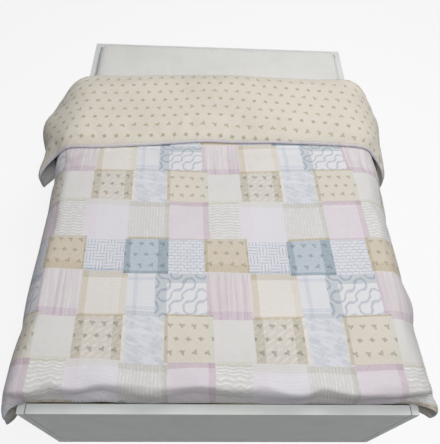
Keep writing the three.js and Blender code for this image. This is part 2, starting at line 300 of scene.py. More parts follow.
def half_thickness(across, along):
    fill = 1.0
    end_taper = mix(SEAM_TAPER, CORNER_TAPER, smooth(*CORNER_FULL_FROM, abs(across)))
    side_taper = mix(SEAM_TAPER, CORNER_TAPER, hump(along, CORNER_FULL_LONG))
    for inside, taper in ((COVER_WIDTH / 2 - abs(across), side_taper), (along, end_taper),
                          (COVER_LENGTH - along, SEAM_TAPER)):
        part = min(1.0, max(0.0, inside / taper))
        fill = min(fill, part * (2 - part))
    return SEAM_HALF + (HALF_THICK - SEAM_HALF - squeezed(across)) * fill


print("middle of the cover lies at", [round(value, 3) for value in cover_at(0, 1.0)[0]])

# %% [markdown]
# ## Sewing the two panels
#
# The panels start as two flat grids, as cut cloth does. Their lines are set closer together where
# the cloth bends sharply. The back panel is turned over, the two outlines are pulled out into a
# seam and bridged, and the closed bag then has both its cloths and flat lengths, in metres, as UVs.
# Only after that is it laid in its place.

# %% Lines of the cutting grid
def stations(start, stretches):
    places = [start]
    for end, steps in stretches:
        start = places[-1]
        places += [mix(start, end, (step + 1) / steps) for step in range(steps)]
    return places


PANELS_APART, SEAM_OUT = 0.004, 0.004

half_lines = stations(0, ((0.550, 24), (0.666, 7), (0.905, 15), (COVER_WIDTH / 2, 8)))
ACROSS_LINES = [-place for place in reversed(half_lines[1:])] + half_lines
ALONG_LINES = stations(0, (
    (0.040, 5), (FOOT_STRAIGHT - 0.001, 5), (FOOT_FLAT + 0.001, 7), (FOOT_FLAT + 0.020, 3),
    (FOLD_START - 0.045, 53), (FOLD_START, 3),
    (FOLD_START + FOLD_ARC, 8), (COVER_LENGTH - 0.060, 19), (COVER_LENGTH, 5),
))
print(len(ACROSS_LINES), "x", len(ALONG_LINES), "lines")

# %% Cut, turn over and bridge the panels
def cut_panel(bm, layer):
    """A flat panel, its lines moved to where the cutting grid has them."""
    columns, rows = len(ACROSS_LINES), len(ALONG_LINES)
    panel = bmesh.ops.create_grid(bm, x_segments=columns - 1, y_segments=rows - 1, size=1)["verts"]
    for vert in panel:
        column = round((vert.co.x + 1) / 2 * (columns - 1))
        row = round((vert.co.y + 1) / 2 * (rows - 1))
        vert.co = Vector((ACROSS_LINES[column], ALONG_LINES[row], layer * PANELS_APART))
    return panel


def is_face(place):
    return place.z > 1e-9


def is_seam(place):
    return abs(place.z) <= 1e-9


bm = bmesh.new()
cut_panel(bm, 1)
back_panel = cut_panel(bm, -1)
back_faces = list({face for vert in back_panel for face in vert.link_faces})
bmesh.ops.reverse_faces(bm, faces=back_faces)
for face in back_faces:
    face.material_index = 1

rim = [edge for edge in bm.edges if edge.is_boundary and is_face(edge.verts[0].co)]
pulled = bmesh.ops.extrude_edge_only(bm, edges=rim)["geom"]
seam_verts = [item for item in pulled if isinstance(item, bmesh.types.BMVert)]
for vert in seam_verts:
    out = Vector((0, 0, 0))
    if abs(vert.co.x) > COVER_WIDTH / 2 - 1e-6:
        out.x = math.copysign(SEAM_OUT, vert.co.x)
    if not 1e-6 < vert.co.y < COVER_LENGTH - 1e-6:
        out.y = math.copysign(SEAM_OUT, vert.co.y - COVER_LENGTH / 2)
    vert.co += out
    vert.co.z = 0
seam_edges = [item for item in pulled if isinstance(item, bmesh.types.BMEdge)
              and all(is_seam(vert.co) for vert in item.verts)]
back_rim = [edge for edge in bm.edges if edge.is_boundary and edge.verts[0].co.z < -1e-9]
bmesh.ops.bridge_loops(bm, edges=seam_edges + back_rim)
bm.verts.index_update()


def by_corners(part):
    """Bridging leaves no fixed order, and the simulation feels it, so edges and faces are sorted."""
    corners = [vert.index for vert in part.verts]
    return min(corners) * 4 * len(bm.verts) + sum(corners)


for parts in (bm.edges, bm.faces):
    parts.sort(key=by_corners)
    parts.index_update()
print("open edges left:", sum(edge.is_boundary for edge in bm.edges), "faces:", len(bm.faces))

# %% Write the flat lengths as UVs and keep each point's flat place
FOOT_STRETCH = 0.066
PULLED_FROM = 0.6     # the cloth is pulled askew and bowed as it is laid, and least here along it
ACROSS_BOW, ACROSS_SKEW = -0.031, 0.013
ALONG_BOW, ALONG_SKEW, ALONG_CREEP = -0.032, -0.039, 0.034


def outer_place(across, along):
    """Cloth lies outside the middle plane, so it takes a little more length round a bend."""
    side = -1 if across < 0 else 1
    turn = min(SIDE_TURN[side], max(0, abs(across) - FLAT_HALF[side]) / SIDE_BEND)
    up = along - PULLED_FROM
    return (across + side * HALF_THICK * turn + ACROSS_BOW * across ** 2 + ACROSS_SKEW * up * across,
            along - FOOT_STRETCH * max(0, 1 - along / FOOT_FLAT)
            + ALONG_BOW * across ** 2 + ALONG_SKEW * across * up + ALONG_CREEP * up ** 2)


cloth_uv = bm.loops.layers.uv.new("cloth")
seam_uv = bm.loops.layers.uv.new("from_seam")
for face in bm.faces:
    for loop in face.loops:
        loop[cloth_uv].uv = outer_place(loop.vert.co.x, loop.vert.co.y)
        loop[seam_uv].uv = (loop.vert.co.x, loop.vert.co.y)
flat = [vert.co.copy() for vert in bm.verts]
print("flat lengths written at", len(flat), "points")

# %% [markdown]
# Where the filling thins towards the seam, the turned-back layer settles onto the layer below, so
# its free edge lies on the cover and doesn't float above it. At the foot the top rises into a soft
# lip before it bends down to the board.

# %% Lay the cover over the bed
SETTLES = (FOLD_START + FOLD_ARC, FOLD_START + FOLD_ARC + 0.080)


def settling(across, along, half):
    return (HALF_THICK - half + squeezed(across)) * smooth(*SETTLES, along)


def laid(flat_place):
    across = min(COVER_WIDTH / 2, max(-COVER_WIDTH / 2, flat_place.x))
    along = min(COVER_LENGTH, max(0, flat_place.y))
    middle, swollen = cover_at(across, along)
    if is_seam(flat_place):
        outwards = Vector((flat_place.x - across, flat_place.y - along, 0))
        beside = cover_at(across - outwards.x, along - outwards.y)[0]
        middle += cover_normal(across, along) * settling(across, along, SEAM_HALF)
        return middle + (middle - beside).normalized() * SEAM_OUT
    layer = 1 if is_face(flat_place) else -1
    normal, half = cover_normal(across, along), half_thickness(across, along)
    return middle + normal * (layer * (half + swollen) + settling(across, along, half))


def new_piece(name, bm):
    mesh = bpy.data.meshes.new(name)
    bm.to_mesh(mesh)
    bm.free()
    piece = bpy.data.objects.new(name, mesh)
    bpy.context.collection.objects.link(piece)
    return piece


for vert, place in zip(bm.verts, flat):
    vert.co = EDGE + laid(place)
print("filling:", round(bm.calc_volume(signed=True), 3), "cubic metres, so the faces point outwards")
for face in bm.faces:
    face.smooth = True
cover = new_piece("duvet_cover", bm)
cover_mesh = cover.data
print("cover has", len(cover_mesh.polygons), "faces")

# %% [markdown]
# ## Filling the cover
#
# The filling presses the two panels apart. A cloth simulation does that: the mesh becomes cloth a
# little larger than its shape, air pressure inside stands for the filling, and gravity is off
# because the lie is already settled. Only what shows is let go. The seam, the layers that face
# each other in the fold, and all that rests on the mattress are pinned.

# %% Which points may move
UNDER_FLAP = FOLD_PLACE - (COVER_LENGTH - FOLD_START - FOLD_ARC) + FOOT_LOSS
FREE_FROM_SEAM = (0.004, 0.050)
FACE_ENDS = (UNDER_FLAP - 0.090, UNDER_FLAP - 0.030)
REVERSE_STARTS = (FOLD_START + 0.035, FOLD_START + 0.090)
EDGE_ALONG, EDGE_ACROSS, EDGE_HELD = (0.240, 0.080), (0.720, 0.640), 0.9    # the foot edge is held too


def freedom(flat_place):
    across, along, layer = flat_place
    free = smooth(*FREE_FROM_SEAM, min(COVER_WIDTH / 2 - abs(across), along, COVER_LENGTH - along))
    if layer < 0:
        return free * smooth(*REVERSE_STARTS, along)
    foot_edge = smooth(*EDGE_ALONG, along) * smooth(*EDGE_ACROSS, abs(across))
    return free * (1 - smooth(*FACE_ENDS, along)) * (1 - EDGE_HELD * foot_edge)


held = cover.vertex_groups.new(name="held")
freedoms = [0.0 if is_seam(place) else freedom(place) for place in flat]
for index, free in enumerate(freedoms):
    held.add([index], 1 - free, "REPLACE")
print("points let go:", sum(free > 0.5 for free in freedoms), "of", len(freedoms))

# %% Blow it up a little
MOST_MOVE, STEPS = 0.012, 20
FILLING = {"quality": 6, "mass": 0.3, "tension_stiffness": 25, "compression_stiffness": 25,
           "shear_stiffness": 12, "bending_stiffness": 0.6, "shrink_min": -0.012, "use_pressure": True,
           "uniform_pressure_force": 4, "vertex_group_mass": "held", "pin_stiffness": 2}


def fill_with_air(obj):
    cloth = obj.modifiers.new("filling", "CLOTH")
    for name, value in FILLING.items():
        setattr(cloth.settings, name, value)
    cloth.settings.effector_weights.gravity = 0
    cloth.collision_settings.use_collision = False
    scene = bpy.context.scene
    for step in range(1, STEPS + 1):
        scene.frame_set(step)
    graph = bpy.context.evaluated_depsgraph_get()
    result = [vert.co.copy() for vert in obj.evaluated_get(graph).data.vertices]
    obj.modifiers.remove(cloth)
    scene.frame_set(1)
    return result


start = [vert.co.copy() for vert in cover_mesh.vertices]
blown = fill_with_air(cover)
moves = []
for vert, before, after, free in zip(cover_mesh.vertices, start, blown, freedoms):
    move = after - before
    if move.length > MOST_MOVE:
        move *= MOST_MOVE / move.length
    vert.co = before + move * free
    moves.append((move * free).length)
print("moved on average", round(sum(moves) / len(moves) * 1000, 2), "mm, most",
      round(max(moves) * 1000, 1), "mm")
cover.vertex_groups.clear()

# %% [markdown]
# ## Pinching the foot edge
#
# A cover that has been tugged straight doesn't bend evenly over its foot edge. The cloth is
# pinched there into a crest, as a bedmaker's hand leaves it, with a shallow trough below. The
# crest wanders up and down; how far, and where, is written in a table. The upper cloth
# moves a few millimetres along its own normal. Last, both cloths of the hem are lifted in places.

# %% Crest and trough
CREST_HIGH, CREST_WIDE, CREST_SHARP, CREST_ABOVE = 0.0052, 0.021, 1.3, 0.028
TROUGH_DEEP, TROUGH_WIDE, TROUGH_BELOW = 0.0008, 0.014, 0.010
PINCH_ENDS, PINCH_FADES, PINCH_LONG = (0.800, 0.640), 0.030, 0.200
HEM_LIFT_LONG = 0.035
HEM_LIFTS = (  # place across, half width, how far the hem stands off the board
    (-0.540, 0.080, 0.008),
    (-0.405, 0.030, 0.006),
    (0.600, 0.035, 0.006),
)
CREST_WANDERS = (  # place across, half width, how far towards the head
    (-0.600, 0.060, 0.014),
    (-0.450, 0.070, -0.014),
    (-0.270, 0.080, 0.020),
    (0.150, 0.040, 0.018),
    (0.280, 0.035, -0.010),
    (0.345, 0.030, 0.008),
    (0.590, 0.080, -0.018),
)


def below_edge(along):
    """Length of the outer cloth from where the top starts to bend, less than nothing below it."""
    if along >= FOOT_FLAT:
        return along - FOOT_FLAT
    bent = max(along, FOOT_STRAIGHT) - FOOT_STRAIGHT
    outer = (FOOT_BEND + HALF_THICK) / FOOT_BEND
    return (bent - FOOT_FLAT + FOOT_STRAIGHT) * outer - max(0, FOOT_STRAIGHT - along)


def pinch(across, along):
    from_crest = below_edge(along) + CREST_ABOVE - humps(CREST_WANDERS, across)
    crest = max(0, 1 - abs(from_crest) / CREST_WIDE) ** CREST_SHARP
    trough = hump(from_crest + CREST_WIDE + TROUGH_BELOW, TROUGH_WIDE)
    inside = smooth(*PINCH_ENDS, abs(across)) * smooth(0, PINCH_FADES, along)
    return inside * (CREST_HIGH * crest - TROUGH_DEEP * trough)


pinched = 0
for vert, place in zip(cover_mesh.vertices, flat):
    if is_face(place) and 0 < place.y < PINCH_LONG:
        vert.co += cover_normal(place.x, place.y) * pinch(place.x, place.y)
        pinched += 1
    vert.co.z += humps(HEM_LIFTS, place.x) * hump(place.y, HEM_LIFT_LONG)
print("pinched", pinched, "points")

# %% [markdown]
# ## The mattress in its fitted sheet
#
# A mattress is a slab with rounded edges, and a fitted sheet is stretched over it. It starts as a
# cube: one bevel rounds the upright corners, a second the long edges, and cuts every few
# centimetres give the sheet points to crease at. It shows only at the head, past the cover.

# %% Cut the slab
HEAD_END = BOARD + WELL_LENGTH - MATTRESS_END
CREASE_EVERY = 0.025


def climb(edge):
    return abs(edge.verts[0].co.z - edge.verts[1].co.z)


def round_off(edges, radius):
    bmesh.ops.bevel(bm, geom=edges, offset=radius, segments=6, profile=0.5, affect="EDGES", material=-1)


bm = bmesh.new()
bmesh.ops.create_cube(bm, size=1)
for vert in bm.verts:
    vert.co = Vector(side * size for side, size in zip(vert.co, MATTRESS))
round_off([edge for edge in bm.edges if climb(edge) > 0.1], UPRIGHT_ROUND)
round_off([edge for edge in bm.edges if climb(edge) < 1e-6 and edge.calc_face_angle(0) > 1], LEVEL_ROUND)
for axis, reach in ((0, MATTRESS[0] / 2), (1, MATTRESS[1] / 2)):
    cuts = int(reach / CREASE_EVERY)
    for step in range(-cuts + 1, cuts):
        point, normal = Vector((0, 0, 0)), Vector((0, 0, 0))
        point[axis], normal[axis] = step * CREASE_EVERY, 1
        bmesh.ops.bisect_plane(bm, geom=bm.verts[:] + bm.edges[:] + bm.faces[:], dist=1e-5,
                               plane_co=point, plane_no=normal)
bmesh.ops.remove_doubles(bm, verts=bm.verts, dist=1e-5)
for face in bm.faces:
    face.smooth = True
mattress_middle = EDGE + Vector((0, HEAD_END - MATTRESS[1] / 2, MATTRESS_TOP - MATTRESS[2] / 2))
for vert in bm.verts:
    vert.co += mattress_middle
mattress = new_piece("fitted_sheet", bm)
mattress_mesh = mattress.data
print("sheeted mattress:", len(mattress_mesh.polygons), "faces")

# %% [markdown]
# ## A bench for laying out nodes
#
# A printed cloth needs many small sums: how far along a repeat, which patch, how near a line.
# They could be placed by hand in the Shader Editor, a Math node for each. In a script they can be
# written as sums: whatever comes out of a node is kept as a wire, and adding or dividing two
# wires lays out the Math node between them. The bench adds the other nodes and joins them.

# %% Wires and sums
def srgb(*levels):
    """A colour as a painter's chart gives it, from 0 to 255, turned into light."""
    return tuple(((level / 255 + 0.055) / 1.055) ** 2.4 for level in levels) + (1.0,)


class Wire:
    """What comes out of a node; sums with it become Math nodes."""
    def __init__(self, bench, socket):
        self.bench, self.socket = bench, socket

    def __add__(self, other):
        return self.bench.math("ADD", self, other)

    def __sub__(self, other):
        return self.bench.math("SUBTRACT", self, other)

    def __rsub__(self, other):
        return self.bench.math("SUBTRACT", other, self)

    def __mul__(self, other):
        return self.bench.math("MULTIPLY", self, other)

    def __truediv__(self, other):
        return self.bench.math("DIVIDE", self, other)

    def __rtruediv__(self, other):
        return self.bench.math("DIVIDE", other, self)

    def __mod__(self, other):
        return self.bench.math("FLOORED_MODULO", self, other)

    def __lt__(self, other):
        return self.bench.math("LESS_THAN", self, other)

    def __gt__(self, other):
        return self.bench.math("GREATER_THAN", self, other)

    def __abs__(self):
        return self.bench.math("ABSOLUTE", self)

    def __floor__(self):
        return self.bench.math("FLOOR", self)

    def ease(self, start, end, low=0.0, high=1.0):
        """Goes softly from low to high while this wire goes from start to end."""
        return self.bench.take("MapRange", {"interpolation_type": "SMOOTHSTEP"}, Value=self,
                               From_Min=start, From_Max=end, To_Min=low, To_Max=high)


def fract(wire):
    return wire.bench.math("FRACT", wire)


def most(first, *others):
    for other in others:
        first = first.bench.math("MAXIMUM", first, other)
    return first


def least(first, *others):
    for other in others:
        first = first.bench.math("MINIMUM", first, other)
    return first


print("sums ready; white is", [round(value, 2) for value in srgb(255, 255, 255)])

# %% The bench
class Bench:
    def __init__(self, tree):
        self.tree = tree

    def feed(self, socket, value):
        if isinstance(value, Wire):
            value = value.socket
        if isinstance(value, bpy.types.NodeSocket):
            self.tree.links.new(value, socket)
        elif value is not None:
            socket.default_value = value

    def add(self, kind, settings=None, **feeds):
        node = self.tree.nodes.new("ShaderNode" + kind)
        for name, value in (settings or {}).items():
            setattr(node, name, value)
        for name, value in feeds.items():
            self.feed(node.inputs[name.replace("_", " ")], value)
        return node

    def take(self, kind, settings=None, output=0, **feeds):
        return Wire(self, self.add(kind, settings, **feeds).outputs[output])

    def filled(self, kind, settings, values):
        """A node whose inputs share a name, so they are filled by their order."""
        node = self.add(kind, settings)
        for socket, value in zip(node.inputs, values):
            self.feed(socket, value)
        return node

    def math(self, operation, *values):
        return Wire(self, self.filled("Math", {"operation": operation}, values).outputs[0])

    def vectors(self, operation, *values):
        return Wire(self, self.filled("VectorMath", {"operation": operation}, values).outputs[0])

    def parts(self, vector, count=2):
        return [Wire(self, part) for part in self.add("SeparateXYZ", Vector=vector).outputs[:count]]

    def join(self, x, y, z=0.0):
        return self.take("CombineXYZ", X=x, Y=y, Z=z)

    def mix(self, factor, under, over, how="MIX"):
        node = self.add("Mix", {"data_type": "RGBA", "blend_type": how})
        for socket, value in zip((node.inputs["Factor"], *node.inputs[6:8]), (factor, under, over)):
            self.feed(socket, value)
        return Wire(self, node.outputs[2])

    def length(self, vector):
        return self.take("VectorMath", {"operation": "LENGTH"}, "Value", Vector=vector)

    def scale(self, vector, factor):
        return self.take("VectorMath", {"operation": "SCALE"}, Vector=vector, Scale=factor)

    def turn(self, vector, angle):
        return self.take("VectorRotate", {"rotation_type": "Z_AXIS"}, Vector=vector, Angle=angle)

    def noise(self, place, scale, detail=2.0, output=0, **more):
        return self.take("TexNoise", None, output, Vector=place, Scale=scale, Detail=detail, **more)

    def chance(self, cell):
        """One random number for each whole cell."""
        return self.take("TexWhiteNoise", {"noise_dimensions": "2D"}, "Value", Vector=cell)

    def use(self, group, **feeds):
        outputs = self.add("Group", {"node_tree": group}, **feeds).outputs
        return {socket.name: Wire(self, socket) for socket in outputs}

    def lead(self, **results):
        """Make a group's outputs and end its tree in them."""
        for name, wire in results.items():
            kind = "Vector" if wire.socket.type == "VECTOR" else "Float"
            self.tree.interface.new_socket(name, in_out="OUTPUT", socket_type="NodeSocket" + kind)
        ends = self.tree.nodes.new("NodeGroupOutput").inputs
        for name, wire in results.items():
            self.feed(ends[name], wire)
        return self.tree


def effect(name, **inputs):
    """A new node group: its bench and what comes in. An input of None is a place."""
    tree = bpy.data.node_groups.new(name, "ShaderNodeTree")
    for socket, value in inputs.items():
        kind = "Vector" if value is None else "Float"
        made = tree.interface.new_socket(socket, in_out="INPUT", socket_type="NodeSocket" + kind)
        if value is not None:
            made.default_value = value
    bench = Bench(tree)
    ways_in = tree.nodes.new("NodeGroupInput").outputs
    return bench, *(Wire(bench, ways_in[socket]) for socket in inputs)


def new_material(name):
    material = bpy.data.materials.new(name)
    material.use_nodes = True
    material.node_tree.nodes.clear()
    return material, Bench(material.node_tree)


print("bench ready")

# %% [markdown]
# ## Effects that several cloths share
#
# Both panels and the sheet are plain-woven cotton, so the weave is one effect, used three times.
# So is the fine crumple that washed cotton keeps. The stitched seam belongs to both panels. Each
# is a group with named inputs.

# %% Weave and crumple
def make_weave():
    bench, place, thread = effect("plain_weave", Place=None, Thread=0.0006)
    x, y = bench.parts(place)
    over, under = (bench.math("SINE", run / thread * math.pi) for run in (x, y))
    stretch, fineness = 9.0, 60.0
    warp = bench.noise(bench.join(x * stretch, y), fineness, 3.0)
    weft = bench.noise(bench.join(x, y * stretch), fineness, 3.0)
    return bench.lead(Height=over * under * 0.5 + 0.5, Slub=(warp + weft) * 0.5)


def make_crumple():
    bench, place, size = effect("washed_crumple", Place=None, Size=0.05)
    scaled = bench.scale(place, 1.0 / size)
    broad = bench.noise(scaled, 1.0, 3.0, Distortion=0.6)
    ridges = abs(bench.noise(scaled, 0.55, 2.0, Distortion=1.4) - 0.5)
    return bench.lead(Height=broad - ridges.ease(0.0, 0.10, 0.10, 0.0))


weave, crumple = make_weave(), make_crumple()
print("made", weave.name, "and", crumple.name)

# %% Stitched seam all round
STITCH_IN, STITCH_LONG = 0.006, 0.0042


def make_seam():
    bench, place = effect("stitched_seam", Place=None)
    x, y = bench.parts(place)
    inside = least(COVER_WIDTH / 2 - abs(x), least(y, COVER_LENGTH - y))
    from_stitch, run = abs(inside - STITCH_IN), x + y
    dashes = fract(run / STITCH_LONG) < 0.72
    gathers = bench.noise(bench.join(run, inside * 0.25), 42.0, 2.0)
    return bench.lead(
        Thread=from_stitch.ease(0.0004, 0.0012, 1.0, 0.0) * dashes,
        Height=from_stitch.ease(0.0, 0.004, 0.0, 1.0),
        Pucker=inside.ease(STITCH_IN, 0.060, 1.0, 0.0) * gathers,
        Rolled=(inside - gathers * 0.006).ease(0.000, 0.004, 1.0, 0.0))


seam = make_seam()
print("made", seam.name)

# %% [markdown]
# The sprigs come in two kinds, in staggered rows: an open one, two leaves on a stem, and a closed
# bud between two small leaves. The cloth is cut into a net of cells, the place inside each cell is
# turned by a chance angle of its own, and each shape is every place near enough to its middle.
# Drawn this way, it stays sharp at any distance.

# %% Sprigs
OPEN_SPRIG = (  # middle across and along, lean in degrees, half length, half width; in sprig sizes
    (-0.24, 0.13, 56, 0.34, 0.25),
    (0.24, 0.13, -56, 0.34, 0.25),
    (0, -0.17, 0, 0.34, 0.17),
)
SIDE_LEAVES = (
    (-0.36, -0.03, 82, 0.24, 0.11),
    (0.36, -0.03, -82, 0.24, 0.11),
)
BUD = (0, 0.02, 0, 0.44, 0.31)


def oval(place, across, along, lean, half_long, half_wide):
    moved = place.bench.take("Mapping", {"vector_type": "TEXTURE"}, Vector=place,
                             Location=(across, along, 0), Rotation=(0, 0, math.radians(lean)),
                             Scale=(half_wide, half_long, 1))
    return place.bench.length(moved).ease(0.70, 1.15, 1.0, 0.0)


def make_sprigs():
    bench, place, across, along, size, turn = effect(
        "sprigs", Place=None, Across=0.044, Along=0.048, Size=0.019, Turn=0.9)
    x, y = bench.parts(place)
    row = y / along
    odd = math.floor(row) % 2.0
    column = odd * 0.5 + x / across
    chance = bench.chance(bench.join(math.floor(column), math.floor(row)))
    from_middle = bench.join((fract(column) - 0.5) * across, (fract(row) - 0.5) * along)
    angle = (chance - 0.5) * (turn * 2.0) + (chance > 0.60) * math.pi
    unit = bench.scale(bench.turn(from_middle, angle), 1.0 / size)
    opened = most(*(oval(unit, *leaf) for leaf in OPEN_SPRIG))
    closed = most(*(oval(unit, *leaf) for leaf in SIDE_LEAVES))
    return bench.lead(Leaves=closed * odd + opened * (1.0 - odd), Bud=odd * oval(unit, *BUD))


sprigs = make_sprigs()
print("made", sprigs.name)

# %% [markdown]
# ## The printed patchwork
#
# The face panel looks like many small cloths sewn together, over and over, but it is one print: a
# repeat four patches wide and four high. So is this one. The place on the flat cloth is folded
# back into one repeat, each patch asks whether the place is inside it, and mixes in its own cloth.
# The print isn't quite straight with the seams, as cut cloth seldom is.

# %% Size of the repeat
REPEAT_ACROSS, REPEAT_ALONG = 0.652, 0.684
PRINT_START = (0.0828, 1.1634 + FOOT_LOSS)
COLUMNS_LEAN, ROWS_LEAN = 0.0427, -0.0084
WANDER = 0.008


def make_repeat():
    bench, cloth = effect("print_place", Cloth=None)
    wander = bench.noise(cloth, 9.0, 3.0, output=1)
    shaky = bench.vectors("MULTIPLY_ADD", wander, (WANDER, WANDER, 0), cloth)
    start = (PRINT_START[0] + WANDER / 2, PRINT_START[1] + WANDER / 2, 0)
    x, y = bench.parts(bench.vectors("SUBTRACT", shaky, start))
    return bench.lead(Place=bench.join(y * COLUMNS_LEAN + x, x * ROWS_LEAN + y))


def make_patch():
    bench, place, left, low, width, height = effect(
        "patch", Place=None, Left=0.0, Low=0.0, Width=0.17, Height=0.17)
    x, y = bench.parts(place)
    x, y = (x - left) % REPEAT_ACROSS, (y - low) % REPEAT_ALONG
    return bench.lead(Inside=(x < width) * (y < height), Local=bench.join(x, y))


print_place, patch = make_repeat(), make_patch()
print("one repeat is", REPEAT_ACROSS, "x", REPEAT_ALONG, "m")

# %% [markdown]
# Half of the small cloths are ruled: checks, stripes, bricks, basket weave. They all come down to
# lines at an even pitch, so that is one effect too. The lines are given a little soft edge, as ink
# sinks into cotton.

# %% Ruled lines
def make_lines():
    bench, run, pitch, wide = effect("ruled_lines", Run=0.0, Pitch=0.01, Wide=0.002)
    off = abs(fract(run / pitch) - 0.5) * pitch
    half = wide * 0.5
    return bench.lead(Ink=off.ease(half * 0.7, half * 1.3, 1.0, 0.0))


ruled = make_lines()


def lines(run, pitch, wide):
    return run.bench.use(ruled, Run=run, Pitch=pitch, Wide=wide)["Ink"]


print("made", ruled.name)

# %% [markdown]
# Each small cloth is a function. It gets the place inside its patch, its ground and its ink, and
# a few noises that all cloths have in common, because the renderer has room for only so many.

# %% Plain, checked and striped cloths
def plain_cloth(bench, local, common, ground, ink):
    return bench.mix(common["calm"].ease(0.35, 0.7, 0.0, 0.35), ground, ink)


def checked(bench, local, common, ground, ink):
    x, y = bench.parts(local)
    pitch = 0.0096
    net = most(lines(x, pitch, 0.0020), lines(y, pitch, 0.0028))
    return bench.mix(net * 0.80, ground, ink)


def tartan(bench, local, common, ground, ink):
    x, y = bench.parts(local)
    pitch, thin = 0.0105, 0.0016
    wide = lines(x + 0.012, 0.090, 0.016) + lines(y + 0.030, 0.120, 0.014)
    fine = most(lines(x, pitch, thin), lines(y, pitch, thin))
    return bench.mix(wide * 0.48 + fine * 0.32, ground, ink)


def soft_stripes(bench, local, common, ground, ink):
    striped = bench.mix(common["drawn"].ease(0.40, 0.66), ground, ink)
    return bench.mix(common["fine"].ease(0.48, 0.60, 0.0, 0.40), striped, srgb(240, 238, 241))


def ribbed(bench, local, common, ground, ink):
    x = bench.parts(local)[0]
    pitch, pale, thin = 0.0125, 0.0040, 0.0018
    broken = common["broken"].ease(0.42, 0.62, 0.0, 0.65)
    cloth = bench.mix(lines(x, pitch, pale) * broken, ground, srgb(238, 238, 234))
    return bench.mix(lines(x + 0.0055, pitch, thin) * 0.34, cloth, ink)


# %% Sprigged cloths
def sprigged(bench, local, common, ground, ink):
    raised = bench.vectors("SUBTRACT", local, (0, 0.012, 0))
    drawn = bench.use(sprigs, Place=raised, Size=0.0205)
    cloth = bench.mix(drawn["Leaves"] * 0.54, ground, ink)
    return bench.mix(drawn["Bud"] * 0.58, cloth, ink)


def strokes(bench, local, lean, long, pitch, wide):
    """Slanting leaf-shaped strokes in staggered rows."""
    x, y = bench.parts(bench.turn(local, math.radians(-lean)))
    row = y / pitch
    along = math.floor(row) * 0.5 + x / long
    from_middle = bench.join(fract(along) * 2.2 - 1.1, (fract(row) - 0.5) * (2 * pitch / wide))
    return bench.length(from_middle).ease(0.55, 1.1, 1.0, 0.0)


def trellised(bench, local, common, ground, ink):
    fine = strokes(bench, local, 28, 0.060, 0.0098, 0.0030) * 0.5
    light = most(strokes(bench, local, 36, 0.046, 0.0195, 0.0085), fine)
    cloth = bench.mix(light * 0.55, ground, srgb(236, 232, 225))
    return sprigged(bench, local, common, cloth, ink)


# %% Watery, waved, woven and bricked cloths
def watery(bench, local, common, ground, ink):
    x, y = bench.parts(bench.turn(local, math.radians(22)))
    streaks = bench.noise(bench.join(x * 0.28, y), 60.0, 3.0, Distortion=0.4)
    cross = bench.noise(bench.join(y * 0.35, x, 4.0), 44.0, 2.0, Distortion=0.4)
    both = most(streaks.ease(0.40, 0.60, 0.0, 0.95), cross.ease(0.46, 0.62, 0.0, 0.60))
    return bench.mix(both, ground, ink)


def waved(bench, local, common, ground, ink):
    x, y = bench.parts(local)
    pitch, pale, thin = 0.0142, 0.0062, 0.0026
    run = y + bench.math("SINE", x * 130.0) * 0.0024 + common["calm"] * 0.012
    swollen = common["broken"].ease(0.35, 0.65, 0.2, 0.9)
    cloth = bench.mix(lines(run, pitch, pale) * swollen, ground, srgb(238, 239, 236))
    return bench.mix(lines(run + 0.0052, pitch, thin) * 0.6, cloth, ink)


def basket(bench, local, common, ground, ink):
    x, y = bench.parts(local)
    block, strands, wide = 0.040, 3, 0.0050
    odd = (math.floor(x / block) + math.floor(y / block)) % 2.0
    level, upright = lines(y, block / strands, wide), lines(x, block / strands, wide)
    broken = common["broken"].ease(0.30, 0.55, 0.35, 0.95)
    return bench.mix((upright * odd + level * (1.0 - odd)) * broken, ground, ink)


def bricked(bench, local, common, ground, ink):
    x, y = bench.parts(local)
    tall, wide = 0.0135, 0.0250
    shifted = math.floor(y / tall) % 2.0 * (wide / 2)
    joints = most(lines(y + tall / 2, tall, 0.0040), lines(x + shifted, wide, 0.0036))
    return bench.mix(joints * common["broken"].ease(0.32, 0.55, 0.35, 0.85), ground, ink)


# %% [markdown]
# One small cloth has a scrolling damask-like line. Rather than draw scrolls one by one, a tile
# with two quarter rings is laid in a grid and some tiles are turned by chance. The rings always
# meet, so loops and long curls grow by themselves and belong to nobody.

# %% Scrolls from turned tiles
def make_scrolls():
    bench, place, tile, wide = effect("scrolls", Place=None, Tile=0.047, Wide=0.0070)
    bent = bench.scale(bench.noise(place, 18.0, 2.0, output=1), 0.022)
    x, y = bench.parts(bench.scale(bench.vectors("ADD", place, bent), 1.0 / tile))
    chance = bench.chance(bench.join(math.floor(x), math.floor(y)))
    u, v = abs((chance > 0.5) - fract(x)), fract(y)
    nearest = least(bench.length(bench.join(u, v)), bench.length(bench.join(1.0 - u, 1.0 - v)))
    ring = abs(nearest - 0.5) * tile
    wide = wide * bench.noise(place, 40.0).ease(0.35, 0.65, 0.45, 1.25)
    stroke = ring.ease(wide * 0.42, wide * 0.60, 0.55, 0.0)
    rim = abs(ring - wide * 0.50).ease(0.0004, 0.0016, 0.95, 0.0)
    return bench.lead(Ink=most(stroke, rim))


scrolls = make_scrolls()


def scrolled(bench, local, common, ground, ink):
    return bench.mix(common["scroll"] * 0.90, ground, ink)


print("small cloths ready")

# %% [markdown]
# The print is written as a printer would: a chart of the colours that are mixed for it, then a
# cutting list. The list says where each patch lies in the repeat and how large it is, in metres,
# its kind of cloth, its ground and its ink, and the bands where the next cloth seems to lap over
# its edge. A lap is printed in a tone of its own, with the fine dashes of two layers.

